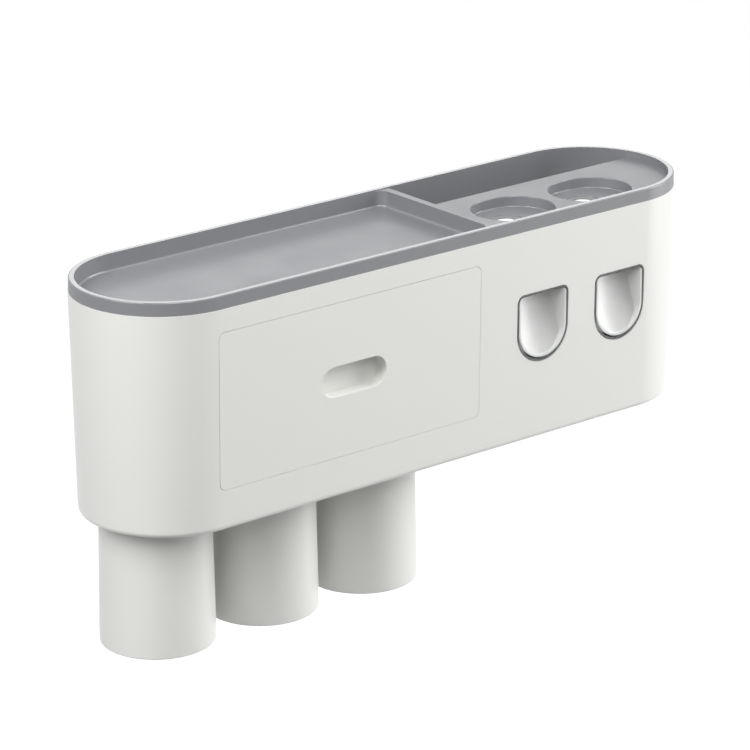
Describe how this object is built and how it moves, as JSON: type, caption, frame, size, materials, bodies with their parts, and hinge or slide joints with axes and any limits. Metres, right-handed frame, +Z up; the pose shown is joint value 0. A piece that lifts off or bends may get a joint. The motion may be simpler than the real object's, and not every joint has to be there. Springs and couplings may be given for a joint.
{
  "type": "toothbrush holder with toothpaste dispenser",
  "caption": "Wall-hung holder with rounded ends: tray top, tube wells over push-lever paste dispensers, deep bay, pull-out drawer, toothbrush slots and magnetic hanging cups.",
  "frame": {"origin": "centre of the four wall screw holes, on the wall's face", "axes": "+X along the length to the viewer's right, +Y into the wall, +Z up"},
  "size_m": [0.38, 0.0963, 0.1938],
  "materials": {
    "white_shell": "satin moulded ABS",
    "grey_top": "fine matt moulded ABS",
    "inner_plastic": "plain moulded ABS",
    "clear_plastic": "polished clear polystyrene",
    "silicone": "soft translucent silicone",
    "zinc_steel": "zinc-plated steel",
    "foam_pad": "closed-cell adhesive foam"
  },
  "bodies": {
    "wall_mount": {"wall_plate_left": "white_shell", "wall_plate_right": "white_shell", "adhesive_pad_left": "foam_pad", "adhesive_pad_right": "foam_pad"},
    "casing": {"casing": "white_shell", "top_tray": "grey_top", "dispenser_deck": "grey_top", "deep_bin": "grey_top", "base_plate": "white_shell", "back_panel": "inner_plastic", "panel_screws": "zinc_steel", "drawer_bay": "inner_plastic", "bay_screws": "zinc_steel", "seat_magnets": "zinc_steel", "dispenser_body_1": "clear_plastic", "dispenser_body_2": "clear_plastic", "lever_pin_1": "zinc_steel", "lever_pin_2": "zinc_steel", "pump_hose_1": "silicone", "pump_hose_2": "silicone", "nozzle_1": "silicone", "nozzle_2": "silicone", "tube_seal_1": "silicone", "tube_seal_2": "silicone", "return_spring_1": "zinc_steel", "return_spring_2": "zinc_steel", "dispenser_screws": "zinc_steel"},
    "drawer": {"drawer_front": "white_shell", "drawer_box": "inner_plastic"},
    "cup_1": {"cup_1": "white_shell", "cup_disc_1": "zinc_steel"},
    "cup_2": {"cup_2": "white_shell", "cup_disc_2": "zinc_steel"},
    "cup_3": {"cup_3": "white_shell", "cup_disc_3": "zinc_steel"},
    "lever_1": {"push_lever_1": "clear_plastic"},
    "lever_2": {"push_lever_2": "clear_plastic"}
  },
  "joints": [
    {"name": "casing_lift", "type": "slide", "parent": "wall_mount", "child": "casing", "axis": [0, 0, 1], "range_m": [0, 0.012]},
    {"name": "drawer_slide", "type": "slide", "parent": "casing", "child": "drawer", "axis": [0, -1, 0], "range_m": [0, 0.062]},
    {"name": "cup_1_pull", "type": "slide", "parent": "casing", "child": "cup_1", "axis": [0, 0, -1], "range_m": [0, 0.02]},
    {"name": "cup_2_pull", "type": "slide", "parent": "casing", "child": "cup_2", "axis": [0, 0, -1], "range_m": [0, 0.02]},
    {"name": "cup_3_pull", "type": "slide", "parent": "casing", "child": "cup_3", "axis": [0, 0, -1], "range_m": [0, 0.02]},
    {"name": "lever_1_push", "type": "hinge", "parent": "casing", "child": "lever_1", "pos_m": [0.0697, -0.0795, 0.0185], "axis": [1, 0, 0], "range_deg": [0, 18], "stiffness_Nm_per_rad": 0.15, "springref_deg": -8.59, "deforming": ["pump_hose_1", "return_spring_1"]},
    {"name": "lever_2_push", "type": "hinge", "parent": "casing", "child": "lever_2", "pos_m": [0.1244, -0.0795, 0.0185], "axis": [1, 0, 0], "range_deg": [0, 18], "stiffness_Nm_per_rad": 0.15, "springref_deg": -8.59, "deforming": ["pump_hose_2", "return_spring_2"]}
  ]
}
